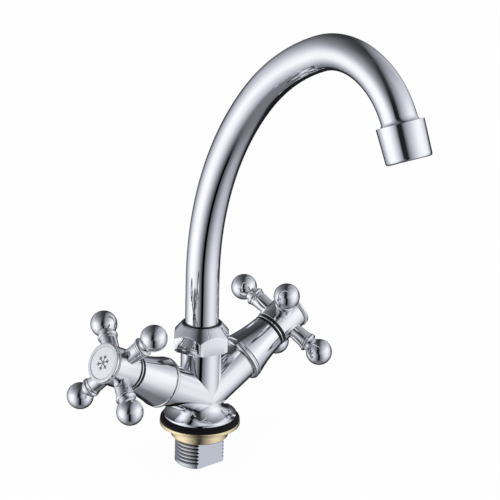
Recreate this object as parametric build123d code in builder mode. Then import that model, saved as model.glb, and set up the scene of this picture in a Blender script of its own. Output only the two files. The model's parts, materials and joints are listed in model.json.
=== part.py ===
from build123d import *
import math
import os

# Two-handle kitchen faucet with a swan-neck spout. Millimetres, +Z up.
# The origin is the middle of the deck hole, level with the top of the deck.
# The spout points along -Y. The left arm leans out along -X and the right arm along +X.

os.makedirs("parts", exist_ok=True)

# ---------------------------------------------------------------- driving dimensions
# Fits, all radial
running_fit = 0.05          # between parts that turn or slide in each other
slip_fit = 0.10             # between parts that are pushed or screwed together
cover_gap = 0.30            # round a part that passes through a cover's hole
overcut = 1.0               # how far a cutting shape runs past the surface it cuts

# Base and shank
gasket_radius = 24.0
gasket_thickness = 3.5
gasket_edge_slope = 1.7     # how far in the rubber's upper edge leans
base_radius = 21.9
base_rim = 1.2              # height of the upright rim of the base
shank_radius = 14.75
shank_length = 26.65        # below the deck
shank_flat = 10.6           # from the middle of the shank to its flat
shank_lead = 2.6            # plain end below the thread
shank_chamfer = 0.6
thread_pitch = 2.309        # eleven turns to the inch
thread_depth = 1.0
thread_groove = 1.7         # width of a groove at its mouth
washer_radius = 24.2
washer_thickness = 2.2
washer_edge = 0.5
nut_wall = 2.5              # round the shank
nut_height = 7.7
nut_chamfer = 0.7

# Inlets in the bottom of the shank
inlet_spacing = 12.4
inlet_offset = 2.0          # the inlets sit behind the middle, away from the flat
inlet_radius = 4.6
inlet_depth = 11.0
passage_radius = 3.0

# Neck, by height
neck_radius = 12.2
neck_shoulder = 46.4
neck_thread_radius = 11.7
neck_top = 57.0
flare_height = 13.4         # the base flares up into the body as far as this
flare_radius = 12.8
flare_sag = 2.26825         # how far the flare's curve sinks in from a straight slope
mixing_bore = 6.5
mixing_floor = 24.0
seal_bore = 8.0
seal_bore_depth = 17.0
mixing_drill_radius = 2.2
mixing_drill_height = 27.5
mixing_drill_offset = 5.6   # behind the inlet passages

# Arms, measured along each arm from the column's axis
arm_height = 15.2           # where the arms' axes cross the column's axis
arm_rise = 28.2             # degrees above level
arm_radius = 12.6
arm_length = 42.0
arm_root = 1.5              # how far an arm's root runs past the column's axis
arm_end_radius = 10.8       # inside the shroud
arm_shoulder = 6.4          # from the arm's end back to where it narrows
passage_start = 5.5

# Bore in each arm, measured back from the arm's end
chamber_radius = 8.6
chamber_depth = 15.5
cartridge_seal_seat = 9.6
cartridge_seal_seat_depth = 1.3

# Everything on an arm, from here to the spout, is placed along it from its end.
# Shroud
shroud_overlap = 8.2        # how far it reaches back over the arm
shroud_end = 17.8
shroud_end_round = 0.3
shroud_bead_width = 2.6
shroud_bead_root = 14.5
shroud_bead_radius = 15.3
shroud_groove_width = 0.5
shroud_shoulder = 15.15
shroud_waist = (6.5, 12.6)  # place along the arm, and radius there
shroud_mouth = 11.25
shroud_cavity = 11.8
shroud_web_end = 13.5
shroud_bush_bore = 9.0

# Black bush between shroud and handle, with a bright ring round it
bush_radius = 11.0
bush_length = 4.2
bush_spigot = 2.8
bush_bore = 6.0
bush_groove = 10.0
trim_width = 1.3
trim_radius = 11.9
trim_edge = 0.45

# Ceramic cartridge
seat_seal_thickness = 1.4
seat_seal_bore = 4.9
seat_seal_radius = 6.7
disc_radius = 6.85
disc_thickness = 3.0
port_half_angle = 35.0
port_inner_radius = 1.2
port_outer_radius = 4.6
opening_half_angle = 40.0   # of the turning disc's two openings
opening_inner_radius = 2.2
drive_slot_width = 3.2
drive_slot_depth = 1.5
barrel_depth = 13.6         # how far the barrel reaches into the arm
barrel_radius = 7.7
barrel_bore = 8.0           # length of the bore round the discs
window_offset = 3.1         # from the barrel's inner end
window_length = 3.4
window_width = 7.0
cartridge_thread_length = 5.5
hexagon_across_flats = 19.8
hexagon_thickness = 3.0
cartridge_neck = 7.5
cartridge_end = 13.5

# Spindle
driver_thickness = 2.2
spindle_radius = 4.0
spindle_end = 29.0
spline_start = 19.5
spline_root = 3.5
spline_teeth = 20
spline_tooth_height = 0.45
spline_tooth_width = 0.55
spindle_groove_width = 1.5
spindle_grooves = (3.7, 7.7)
circlip_thickness = 0.9
circlip_bore = 3.35
circlip_radius = 5.6
circlip_opening = 2.6
screw_radius = 1.6
screw_length = 10.7         # below the head
screw_hole_spare = 1.0      # depth of the hole beyond the screw's end
screw_head_radius = 3.6
screw_head_height = 2.4
screw_socket = 1.5
screw_socket_depth = 1.4

# Handle
hub_radius = 11.7
hub_end = 39.0
hub_web_start = 29.2
hub_web = 2.0
hub_pocket = 6.0
hub_recess = 9.0
hub_recess_depth = 2.0
spoke_plane = 30.6
spoke_count = 4
left_spoke_angle = 51.0     # turn of the first spoke away from the front
right_spoke_angle = 34.0
spoke_radius = 4.75
spoke_end_radius = 5.05     # the spokes widen slightly towards the ball
spoke_spigot_radius = 2.45
spoke_spigot_start = 8.3
socket_bottom = 8.2
spoke_groove = 0.4          # between the stem and the step beside the bead
spoke_step_radius = 5.35
spoke_step_width = 1.15
spoke_bead_centre = 22.0
spoke_bead_radius = 6.05
spoke_bead_section = 1.25
ball_neck = 4.7
ball_radius = 7.95
ball_centre = 31.2

# Index ring and disc in the hub's end
ring_bore = 7.0
ring_band = 11.45
ring_band_end = 40.8
ring_radius = 12.0
ring_face = 42.3
ring_round = 0.9
ring_lower_round = 0.25
bead_count = 56
bead_radius = 0.64
bead_row_radius = 11.75
bead_row = 40.05
index_recess = 9.75
index_recess_depth = 2.0
index_thickness = 1.95
index_chamfer = 0.3

# Spout
spout_radius = 10.0
spout_wall = 1.2
spout_bend_start = 90.8
bend_radii = (184.4, 134.7, 48.2)
bend_angles = (40.4, 26.8, 88.6)
spout_end_flare = ((-2.8, 9.88), (-0.9, 10.25), (0, 10.85))  # from the end, and radius
collar_flange = 11.6
collar_flange_thickness = 2.0
collar_tail = 16.0
collar_bore = 5.2
collar_insert = 10.0
collar_grooves = (3.0, 9.0)  # from the tail's lower end
wear_ring_thickness = 1.0
wear_sleeve_radius = 10.8
wear_sleeve_rise = 0.5      # how far the sleeve shows above the nut
spout_nut_bottom = 46.8
spout_nut_top = 62.4
spout_nut_across_flats = 32.0
spout_nut_turn = 47.5
spout_nut_crown = (55.1, 18.2)  # height and radius where the crown's cone starts
spout_nut_rim = 12.2
spout_nut_chamfer = (0.5, 0.8)  # height and depth of the lower chamfer

# Aerator, measured along the outlet from the end of the tube
adapter_insert = 4.0
adapter_insert_radius = 8.55  # slack in the bent tube
adapter_length = 8.0
adapter_bore = 7.2
aerator_length = 20.1
aerator_top_radius = 13.25
aerator_bottom_radius = 12.7
aerator_top_chamfer = 0.3
aerator_round = 1.5
aerator_bore = 11.0
aerator_lip_radius = 9.7
aerator_lip = 1.9
aerator_washer_bore = 7.4
aerator_washer_thickness = 1.6
insert_flange = 2.0
insert_barrel_radius = 10.6
insert_nose = 1.4
insert_bore = 7.6
insert_deck = 1.4
jet_ring_radii = (2.4, 5.2)
jet_counts = (4, 8)
jet_radius = 0.8
screen_radius = 8.3
screen_thickness = 0.5
screen_open_radius = 7.4
screen_rows = 7
screen_pitch = 2.1
screen_hole = 1.5

# Round seals
spout_seal_section = 0.88
spindle_seal_section = 0.5
cartridge_seal_section = 0.49


# ---------------------------------------------------------------- planes and helpers
def arm_line(side, along=0):
    """Plane on an arm's axis, at a distance along it: x runs out along the arm."""
    rise = math.radians(arm_rise)
    outward = Vector(side * math.cos(rise), 0, math.sin(rise))
    return Plane(origin=Vector(0, 0, arm_height) + outward * along, x_dir=outward,
                 z_dir=(0, -side, 0))


def across(line, along):
    """Plane square to a line, at a distance along it, with x towards the front."""
    return Plane(origin=line.origin + line.x_dir * along, x_dir=(0, -1, 0), z_dir=line.x_dir)


def turned(line, outline, mode=Mode.ADD):
    """Turn a closed outline of (along, radius) points about a line."""
    with BuildSketch(line) as section:
        with BuildLine():
            Polyline(*outline, close=True)
        make_face()
    revolve(section.sketch, axis=Axis(line.origin, line.x_dir), mode=mode)


def ring(line, start, end, inner, outer, mode=Mode.ADD):
    """A plain ring on a line, or a plain disc when the inner radius is nothing."""
    turned(line, [(start, inner), (start, outer), (end, outer), (end, inner)], mode)


def round_ring(line, along, outer, section_radius):
    """A ring of round section on a line."""
    with BuildSketch(line) as section:
        with Locations((along, outer - section_radius)):
            Circle(section_radius)
    revolve(section.sketch, axis=Axis(line.origin, line.x_dir))


def opposed_openings(plane, turn, half_angle, inner, outer, depth):
    """Cut two opposed sectors of a ring, turned from the plane's x direction."""
    spread = 2 * outer * math.tan(math.radians(half_angle))
    with BuildSketch(plane) as sectors:
        with PolarLocations(0, 2, start_angle=turn):
            Polygon((0, 0), (2 * outer, -spread), (2 * outer, spread), align=None)
        Circle(outer, mode=Mode.INTERSECT)
        Circle(inner, mode=Mode.SUBTRACT)
    extrude(sectors.sketch, amount=depth, mode=Mode.SUBTRACT)


def splined(plane, length, clearance, mode=Mode.ADD):
    """The spindle's toothed end, or the hole for it when given a clearance."""
    tooth_length = spline_tooth_height + spline_root / 2
    tooth_middle = spline_root + spline_tooth_height + clearance - tooth_length / 2
    with BuildSketch(plane) as section:
        Circle(spline_root + clearance)
        with PolarLocations(tooth_middle, spline_teeth):
            Rectangle(tooth_length, spline_tooth_width + 2 * clearance)
    extrude(section.sketch, amount=length, mode=mode)


def save(builder, name):
    builder.part.label = name
    export_step(builder.part, f"parts/{name}.step")


column = Plane(origin=(0, 0, 0), x_dir=(0, 0, 1), z_dir=(0, 1, 0))
shank_bottom = -shank_length
gasket_bore = shank_radius + slip_fit

# ---------------------------------------------------------------- body casting
with BuildPart() as body_casting:
    # Round base, flared up towards the arms
    rim_top = gasket_thickness + base_rim
    with BuildSketch(column) as base_profile:
        with BuildLine():
            Polyline((flare_height, flare_radius), (flare_height, 0), (gasket_thickness, 0),
                     (gasket_thickness, base_radius), (rim_top, base_radius))
            SagittaArc((rim_top, base_radius), (flare_height, flare_radius), -flare_sag)
        make_face()
    revolve(base_profile.sketch, axis=Axis.Z)
    # Upright neck with the threaded end that takes the spout nut, and the two arms
    ring(column, gasket_thickness, neck_shoulder, 0, neck_radius)
    ring(column, neck_shoulder, neck_top, 0, neck_thread_radius)
    for side in (-1, 1):
        ring(arm_line(side), -arm_root, arm_length - arm_shoulder, 0, arm_radius)
        ring(arm_line(side), 0, arm_length, 0, arm_end_radius)
    # Shank
    turned(column, [(shank_bottom, 0), (shank_bottom, shank_radius - shank_chamfer),
                    (shank_bottom + shank_chamfer, shank_radius),
                    (gasket_thickness, shank_radius), (gasket_thickness, 0)])
    thread_turns = int((shank_length - shank_lead) / thread_pitch)
    for turn in range(thread_turns):
        groove = shank_bottom + shank_lead + turn * thread_pitch
        turned(column, [(groove, shank_radius), (groove, shank_radius + overcut),
                        (groove + thread_groove, shank_radius + overcut),
                        (groove + thread_groove, shank_radius),
                        (groove + thread_groove / 2, shank_radius - thread_depth)],
               Mode.SUBTRACT)
    with BuildSketch(Plane.XY.offset(shank_bottom)):
        with Locations((0, -shank_flat - shank_radius / 2)):
            Rectangle(2 * shank_radius, shank_radius)
    extrude(amount=shank_length, mode=Mode.SUBTRACT)
    # Inlets, and the passages that lead from them into the arms
    arm_entry = arm_height + inlet_spacing / 2 * math.tan(math.radians(arm_rise))
    for hole_radius, hole_top in ((inlet_radius, shank_bottom + inlet_depth),
                                  (passage_radius, arm_entry)):
        with BuildSketch(Plane.XY.offset(shank_bottom)):
            with Locations((-inlet_spacing / 2, inlet_offset),
                           (inlet_spacing / 2, inlet_offset)):
                Circle(hole_radius)
        extrude(amount=hole_top - shank_bottom, mode=Mode.SUBTRACT)
    chamber_floor = arm_length - chamber_depth
    for side in (-1, 1):
        arm = arm_line(side)
        ring(arm, passage_start, chamber_floor, 0, passage_radius, Mode.SUBTRACT)
        ring(arm, chamber_floor, arm_length, 0, chamber_radius, Mode.SUBTRACT)
        ring(arm, arm_length - cartridge_seal_seat_depth, arm_length, 0,
             cartridge_seal_seat, Mode.SUBTRACT)
    # Mixing bore up the neck, and the cross drilling that feeds it from both arms
    ring(column, mixing_floor, neck_top, 0, mixing_bore, Mode.SUBTRACT)
    ring(column, neck_top - seal_bore_depth, neck_top, 0, seal_bore, Mode.SUBTRACT)
    with BuildSketch(Plane.YZ):
        with Locations((mixing_drill_offset, mixing_drill_height)):
            Circle(mixing_drill_radius)
    drill_reach = chamber_floor * math.cos(math.radians(arm_rise))
    extrude(amount=drill_reach, both=True, mode=Mode.SUBTRACT)
save(body_casting, "body_casting")

# ---------------------------------------------------------------- base and shank fittings
with BuildPart() as base_gasket:
    turned(column, [(0, gasket_bore), (0, gasket_radius), (gasket_thickness / 2, gasket_radius),
                    (gasket_thickness, gasket_radius - gasket_edge_slope),
                    (gasket_thickness, gasket_bore)])
save(base_gasket, "base_gasket")

with BuildPart() as clamp_washer:
    ring(column, -washer_thickness, 0, 0, washer_radius)
    fillet(clamp_washer.edges().filter_by(GeomType.CIRCLE), washer_edge)
    with BuildSketch(Plane.XY.offset(-washer_thickness)):
        Circle(shank_radius + slip_fit)
        with Locations((0, -shank_flat - slip_fit - shank_radius / 2)):
            Rectangle(2 * washer_radius, shank_radius, mode=Mode.SUBTRACT)
    extrude(amount=washer_thickness, mode=Mode.SUBTRACT)
save(clamp_washer, "clamp_washer")

with BuildPart() as lock_nut:
    nut_radius = shank_radius + nut_wall
    nut_bottom = -washer_thickness - nut_height
    turned(column, [(nut_bottom, gasket_bore), (nut_bottom, nut_radius - nut_chamfer),
                    (nut_bottom + nut_chamfer, nut_radius), (-washer_thickness, nut_radius),
                    (-washer_thickness, gasket_bore)])
save(lock_nut, "lock_nut")

# ---------------------------------------------------------------- spout joint
tail_bottom = neck_top - collar_tail
tail_radius = seal_bore - running_fit
tail_groove_floor = tail_radius - 2 * spout_seal_section
tail_groove_width = 2.2 * spout_seal_section
collar_top = neck_top + collar_flange_thickness
wear_ring_top = collar_top + wear_ring_thickness

with BuildPart() as spout_collar:
    ring(column, tail_bottom, neck_top, collar_bore, tail_radius)
    ring(column, neck_top, collar_top, collar_bore, collar_flange)
    ring(column, collar_top, collar_top + collar_insert, collar_bore,
         spout_radius - spout_wall - running_fit)
    for groove in collar_grooves:
        ring(column, tail_bottom + groove, tail_bottom + groove + tail_groove_width,
             tail_groove_floor, seal_bore, Mode.SUBTRACT)
save(spout_collar, "spout_collar")

with BuildPart() as spout_o_rings:
    for groove in collar_grooves:
        round_ring(column, tail_bottom + groove + tail_groove_width / 2, tail_radius,
                   spout_seal_section)
save(spout_o_rings, "spout_o_rings")

with BuildPart() as spout_wear_ring:
    ring(column, collar_top, wear_ring_top, spout_radius + running_fit, collar_flange)
    # The sleeve centres the tube in the nut and shows as a dark line above it
    ring(column, wear_ring_top, spout_nut_top + wear_sleeve_rise,
         spout_radius + running_fit, wear_sleeve_radius)
save(spout_wear_ring, "spout_wear_ring")

with BuildPart() as spout_nut:
    with BuildSketch(Plane.XY.offset(spout_nut_bottom)):
        RegularPolygon(spout_nut_across_flats / 2, 6, major_radius=False,
                       rotation=spout_nut_turn)
    extrude(amount=spout_nut_top - spout_nut_bottom)
    # The crown is a cone, so each flat ends in an arch
    crown_start, crown_radius = spout_nut_crown
    chamfer_height, chamfer_depth = spout_nut_chamfer
    turned(column, [(spout_nut_bottom, 0), (spout_nut_bottom, crown_radius - chamfer_depth),
                    (spout_nut_bottom + chamfer_height, crown_radius),
                    (crown_start, crown_radius), (spout_nut_top, spout_nut_rim),
                    (spout_nut_top, 0)], Mode.INTERSECT)
    ring(column, spout_nut_bottom, wear_ring_top, 0, neck_thread_radius + running_fit,
         Mode.SUBTRACT)
    ring(column, wear_ring_top, spout_nut_top, 0, wear_sleeve_radius + slip_fit,
         Mode.SUBTRACT)
save(spout_nut, "spout_nut")

# ---------------------------------------------------------------- spout
with BuildLine(Plane(origin=(0, 0, 0), x_dir=(0, -1, 0), z_dir=(-1, 0, 0))) as route:
    stretch = Line((0, collar_top), (0, spout_bend_start))
    for bend_radius, bend_angle in zip(bend_radii, bend_angles):
        stretch = JernArc(stretch @ 1, stretch % 1, bend_radius, -bend_angle)
outlet = Plane(origin=stretch @ 1, x_dir=stretch % 1, z_dir=(1, 0, 0))

with BuildPart() as spout_tube:
    with BuildSketch(Plane.XY.offset(collar_top)):
        Circle(spout_radius)
        Circle(spout_radius - spout_wall, mode=Mode.SUBTRACT)
    sweep(path=route.line)
    # The end is belled out against the aerator
    within_wall = spout_radius - spout_wall / 2
    turned(outlet, [(spout_end_flare[0][0], within_wall), *spout_end_flare,
                    (spout_end_flare[-1][0], within_wall)])
save(spout_tube, "spout_tube")

with BuildPart() as outlet_adapter:
    ring(outlet, -adapter_insert, 0, adapter_bore, adapter_insert_radius)
    ring(outlet, 0, adapter_length, adapter_bore, aerator_bore - slip_fit)
save(outlet_adapter, "outlet_adapter")

lip_start = aerator_length - aerator_lip
with BuildPart() as aerator_housing:
    turned(outlet, [(0, 0), (0, aerator_top_radius), (aerator_length, aerator_bottom_radius),
                    (aerator_length, 0)])
    outer_rims = aerator_housing.edges().filter_by(GeomType.CIRCLE).sort_by(SortBy.RADIUS)
    chamfer(outer_rims[-1], aerator_top_chamfer)
    fillet(outer_rims[0], aerator_round)
    ring(outlet, 0, lip_start, 0, aerator_bore, Mode.SUBTRACT)
    ring(outlet, lip_start, aerator_length, 0, aerator_lip_radius, Mode.SUBTRACT)
save(aerator_housing, "aerator_housing")

insert_start = adapter_length + aerator_washer_thickness
with BuildPart() as aerator_washer:
    ring(outlet, adapter_length, insert_start, aerator_washer_bore, aerator_bore - slip_fit)
save(aerator_washer, "aerator_washer")

nose_end = lip_start + insert_nose
screen_seat = nose_end - 2 * screen_thickness
with BuildPart() as aerator_insert:
    ring(outlet, insert_start, insert_start + insert_flange, 0, aerator_bore - slip_fit)
    ring(outlet, insert_start, lip_start, 0, insert_barrel_radius)
    ring(outlet, insert_start, nose_end, 0, aerator_lip_radius - slip_fit)
    ring(outlet, insert_start + insert_deck, nose_end, 0, insert_bore, Mode.SUBTRACT)
    ring(outlet, screen_seat, nose_end, 0, screen_radius + running_fit, Mode.SUBTRACT)
    with BuildSketch(across(outlet, insert_start)):
        for jet_ring, jet_count in zip(jet_ring_radii, jet_counts):
            with PolarLocations(jet_ring, jet_count):
                Circle(jet_radius)
    extrude(amount=insert_deck, mode=Mode.SUBTRACT)
save(aerator_insert, "aerator_insert")

with BuildPart() as aerator_screen:
    ring(outlet, screen_seat, screen_seat + screen_thickness, 0, screen_radius)
    with BuildSketch(across(outlet, screen_seat)):
        with GridLocations(screen_pitch, screen_pitch, screen_rows, screen_rows):
            Rectangle(screen_hole, screen_hole)
        Circle(screen_open_radius, mode=Mode.INTERSECT)
    extrude(amount=screen_thickness, mode=Mode.SUBTRACT)
save(aerator_screen, "aerator_screen")

# ---------------------------------------------------------------- arms and handles
seat_start = -chamber_depth
fixed_disc_start = seat_start + seat_seal_thickness
turning_disc_start = fixed_disc_start + disc_thickness
driver_start = turning_disc_start + disc_thickness + running_fit
slot_floor = turning_disc_start + disc_thickness - drive_slot_depth
barrel_start = -barrel_depth
shroud_start = -shroud_overlap
shroud_bead_end = shroud_start + shroud_bead_width
shroud_flare_start = shroud_bead_end + 2 * shroud_groove_width
bush_end = shroud_end + bush_length
trim_start = shroud_end + (bush_length - trim_width) / 2
circlip_start = cartridge_end + running_fit
web_end = hub_web_start + hub_web
ring_ledge = ring_face - index_recess_depth
bead_root = spoke_bead_radius - spoke_bead_section
bead_start = spoke_bead_centre - spoke_bead_section
bead_finish = spoke_bead_centre + spoke_bead_section
step_start = bead_start - spoke_step_width
stem_end = step_start - spoke_groove
ball_start = ball_centre - math.sqrt(ball_radius ** 2 - ball_neck ** 2)

for side, arm_name, spoke_angle in ((-1, "left", left_spoke_angle),
                                    (1, "right", right_spoke_angle)):
    arm = arm_line(side, arm_length)
    arm_axis = Axis(arm.origin, arm.x_dir)

    with BuildPart() as seat_seal:
        ring(arm, seat_start, fixed_disc_start, seat_seal_bore, seat_seal_radius)
    save(seat_seal, f"{arm_name}_seat_seal")

    with BuildPart() as fixed_disc:
        ring(arm, fixed_disc_start, turning_disc_start, 0, disc_radius)
        opposed_openings(across(arm, fixed_disc_start), 0, port_half_angle,
                         port_inner_radius, port_outer_radius, disc_thickness)
    save(fixed_disc, f"{arm_name}_fixed_disc")

    with BuildPart() as turning_disc:
        ring(arm, turning_disc_start, turning_disc_start + disc_thickness, 0, disc_radius)
        opposed_openings(across(arm, turning_disc_start), 90, opening_half_angle,
                         opening_inner_radius, disc_radius + overcut, disc_thickness)
        with BuildSketch(across(arm, slot_floor)):
            Rectangle(2 * disc_radius, drive_slot_width)
        extrude(amount=drive_slot_depth, mode=Mode.SUBTRACT)
    save(turning_disc, f"{arm_name}_turning_disc")

    with BuildPart() as cartridge_body:
        turned(arm, [(barrel_start, 0), (barrel_start, barrel_radius),
                     (-cartridge_thread_length, barrel_radius),
                     (-cartridge_thread_length, chamber_radius - running_fit),
                     (0, chamber_radius - running_fit), (0, cartridge_neck),
                     (cartridge_end, cartridge_neck), (cartridge_end, 0)])
        with BuildSketch(across(arm, 0)):
            RegularPolygon(hexagon_across_flats / 2, 6, major_radius=False)
        extrude(amount=hexagon_thickness)
        ring(arm, barrel_start, barrel_start + barrel_bore, 0, disc_radius + running_fit,
             Mode.SUBTRACT)
        ring(arm, barrel_start + barrel_bore, cartridge_end, 0,
             spindle_radius + running_fit, Mode.SUBTRACT)
        with BuildSketch(across(arm, barrel_start + window_offset)):
            Rectangle(2 * chamber_radius, window_width)
        extrude(amount=window_length, mode=Mode.SUBTRACT)
    save(cartridge_body, f"{arm_name}_cartridge_body")

    with BuildPart() as cartridge_o_ring:
        round_ring(arm, -cartridge_seal_seat_depth / 2,
                   cartridge_seal_seat - running_fit, cartridge_seal_section)
    save(cartridge_o_ring, f"{arm_name}_cartridge_o_ring")

    with BuildPart() as spindle:
        ring(arm, driver_start, driver_start + driver_thickness, 0, disc_radius - running_fit)
        ring(arm, driver_start, spline_start, 0, spindle_radius)
        splined(across(arm, spline_start), spindle_end - spline_start, 0)
        # Tongue that turns the upper disc
        with BuildSketch(across(arm, slot_floor + running_fit)):
            Rectangle(2 * disc_radius - drive_slot_width, drive_slot_width - 2 * running_fit)
        extrude(amount=drive_slot_depth)
        for groove in spindle_grooves:
            ring(arm, groove, groove + spindle_groove_width,
                 spindle_radius - 2 * spindle_seal_section, spindle_radius + overcut,
                 Mode.SUBTRACT)
        ring(arm, circlip_start, circlip_start + circlip_thickness + running_fit,
             circlip_bore - running_fit, spindle_radius + overcut, Mode.SUBTRACT)
        ring(arm, web_end - screw_length - screw_hole_spare, spindle_end, 0,
             screw_radius + running_fit, Mode.SUBTRACT)
    save(spindle, f"{arm_name}_spindle")

    with BuildPart() as spindle_o_rings:
        for groove in spindle_grooves:
            round_ring(arm, groove + spindle_groove_width / 2, spindle_radius,
                       spindle_seal_section)
    save(spindle_o_rings, f"{arm_name}_spindle_o_rings")

    with BuildPart() as circlip:
        ring(arm, circlip_start, circlip_start + circlip_thickness, circlip_bore,
             circlip_radius)
        with BuildSketch(across(arm, circlip_start)):
            with Locations((circlip_radius / 2, 0)):
                Rectangle(circlip_radius, circlip_opening)
        extrude(amount=circlip_thickness, mode=Mode.SUBTRACT)
    save(circlip, f"{arm_name}_circlip")

    with BuildPart() as shroud:
        with BuildSketch(arm) as bell:
            with BuildLine():
                ThreePointArc((shroud_start, shroud_bead_root),
                              (shroud_start + shroud_bead_width / 2, shroud_bead_radius),
                              (shroud_bead_end, shroud_bead_root))
                Polyline((shroud_bead_end, shroud_bead_root),
                         (shroud_bead_end + shroud_groove_width, shroud_bead_root),
                         (shroud_flare_start, shroud_shoulder))
                ThreePointArc((shroud_flare_start, shroud_shoulder), shroud_waist,
                              (shroud_end, shroud_mouth))
                Polyline((shroud_end, shroud_mouth), (shroud_end, 0), (shroud_start, 0),
                         (shroud_start, shroud_bead_root))
            make_face()
        revolve(bell.sketch, axis=arm_axis)
        mouth_edge = shroud.edges().filter_by(GeomType.CIRCLE).sort_by(arm_axis)[-1]
        fillet(mouth_edge, shroud_end_round)
        ring(arm, shroud_start, cover_gap - arm_shoulder, 0, arm_radius + cover_gap,
             Mode.SUBTRACT)
        ring(arm, -arm_shoulder, 0, 0, arm_end_radius + cover_gap, Mode.SUBTRACT)
        ring(arm, 0, hexagon_thickness, 0, shroud_cavity, Mode.SUBTRACT)
        ring(arm, hexagon_thickness, shroud_web_end, 0, cartridge_neck + slip_fit,
             Mode.SUBTRACT)
        ring(arm, shroud_web_end, shroud_end, 0, shroud_bush_bore, Mode.SUBTRACT)
    save(shroud, f"{arm_name}_shroud")

    with BuildPart() as glide_bush:
        ring(arm, shroud_end - bush_spigot, shroud_end, bush_bore, shroud_bush_bore - slip_fit)
        ring(arm, shroud_end, bush_end, bush_bore, bush_radius)
        ring(arm, trim_start, trim_start + trim_width, bush_groove, bush_radius,
             Mode.SUBTRACT)
    save(glide_bush, f"{arm_name}_glide_bush")

    with BuildPart() as trim_ring:
        ring(arm, trim_start, trim_start + trim_width, bush_groove + running_fit, trim_radius)
        outer_rims = trim_ring.edges().filter_by(GeomType.CIRCLE).group_by(SortBy.RADIUS)[-1]
        fillet(outer_rims, trim_edge)
    save(trim_ring, f"{arm_name}_trim_ring")

    # Radial lines of the spokes, turned about the arm from the front
    spoke_face = across(arm, spoke_plane)
    spoke_lines = []
    for spoke in range(spoke_count):
        turn = math.radians(spoke_angle + spoke * 360 / spoke_count)
        radial = spoke_face.x_dir * math.cos(turn) + spoke_face.y_dir * math.sin(turn)
        spoke_lines.append(Plane(origin=spoke_face.origin, x_dir=radial, z_dir=arm.x_dir))

    with BuildPart() as handle_hub:
        ring(arm, bush_end, hub_end, 0, hub_radius)
        splined(across(arm, bush_end), hub_web_start - bush_end, running_fit, Mode.SUBTRACT)
        ring(arm, hub_web_start, web_end, 0, screw_radius + cover_gap, Mode.SUBTRACT)
        ring(arm, web_end, hub_end, 0, hub_pocket, Mode.SUBTRACT)
        ring(arm, hub_end - hub_recess_depth, hub_end, 0, hub_recess, Mode.SUBTRACT)
        for spoke_line in spoke_lines:
            ring(spoke_line, socket_bottom, hub_radius, 0, spoke_spigot_radius + running_fit,
                 Mode.SUBTRACT)
    save(handle_hub, f"{arm_name}_handle_hub")

    with BuildPart() as handle_spokes:
        for spoke_line in spoke_lines:
            with BuildSketch(spoke_line) as spoke_profile:
                with BuildLine():
                    Polyline((ball_centre + ball_radius, 0), (spoke_spigot_start, 0),
                             (spoke_spigot_start, spoke_radius), (hub_radius, spoke_radius),
                             (stem_end, spoke_end_radius), (stem_end, spoke_radius),
                             (step_start, spoke_radius), (step_start, spoke_step_radius),
                             (bead_start, spoke_step_radius), (bead_start, bead_root))
                    ThreePointArc((bead_start, bead_root),
                                  (spoke_bead_centre, spoke_bead_radius),
                                  (bead_finish, bead_root))
                    Polyline((bead_finish, bead_root), (bead_finish, ball_neck),
                             (ball_start, ball_neck))
                    ThreePointArc((ball_start, ball_neck), (ball_centre, ball_radius),
                                  (ball_centre + ball_radius, 0))
                make_face()
            revolve(spoke_profile.sketch, axis=Axis(spoke_line.origin, spoke_line.x_dir))
        # Saddle each spoke to the hub, then add its spigot
        ring(arm, bush_end, hub_end, 0, hub_radius, Mode.SUBTRACT)
        for spoke_line in spoke_lines:
            ring(spoke_line, spoke_spigot_start, stem_end, 0, spoke_spigot_radius)
    save(handle_spokes, f"{arm_name}_handle_spokes")

    with BuildPart() as handle_screw:
        ring(arm, web_end - screw_length, web_end, 0, screw_radius)
        ring(arm, web_end, web_end + screw_head_height, 0, screw_head_radius)
        with BuildSketch(across(arm, web_end + screw_head_height - screw_socket_depth)):
            RegularPolygon(screw_socket, 6, major_radius=False)
        extrude(amount=screw_socket_depth, mode=Mode.SUBTRACT)
    save(handle_screw, f"{arm_name}_handle_screw")

    with BuildPart() as index_ring:
        ring(arm, ring_band_end, ring_face, 0, ring_radius)
        rims = index_ring.edges().filter_by(GeomType.CIRCLE).sort_by(arm_axis)
        fillet(rims[-1], ring_round)
        fillet(rims[0], ring_lower_round)
        ring(arm, hub_end, ring_band_end, 0, ring_band)
        with Locations(across(arm, bead_row)):
            with PolarLocations(bead_row_radius, bead_count):
                Sphere(bead_radius)
        ring(arm, hub_end - hub_recess_depth + running_fit, hub_end, 0,
             hub_recess - running_fit)
        ring(arm, ring_ledge, ring_face, 0, index_recess, Mode.SUBTRACT)
        ring(arm, hub_end - hub_recess_depth, ring_ledge, 0, ring_bore, Mode.SUBTRACT)
    save(index_ring, f"{arm_name}_index_ring")

    with BuildPart() as index_disc:
        ring(arm, ring_ledge, ring_ledge + index_thickness, 0, index_recess - slip_fit)
        face_edge = index_disc.edges().filter_by(GeomType.CIRCLE).sort_by(arm_axis)[-1]
        chamfer(face_edge, index_chamfer)
    save(index_disc, f"{arm_name}_index_disc")
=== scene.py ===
import json
import math

import bmesh
import bpy
import numpy as np
from mathutils import Matrix, Vector


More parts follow.
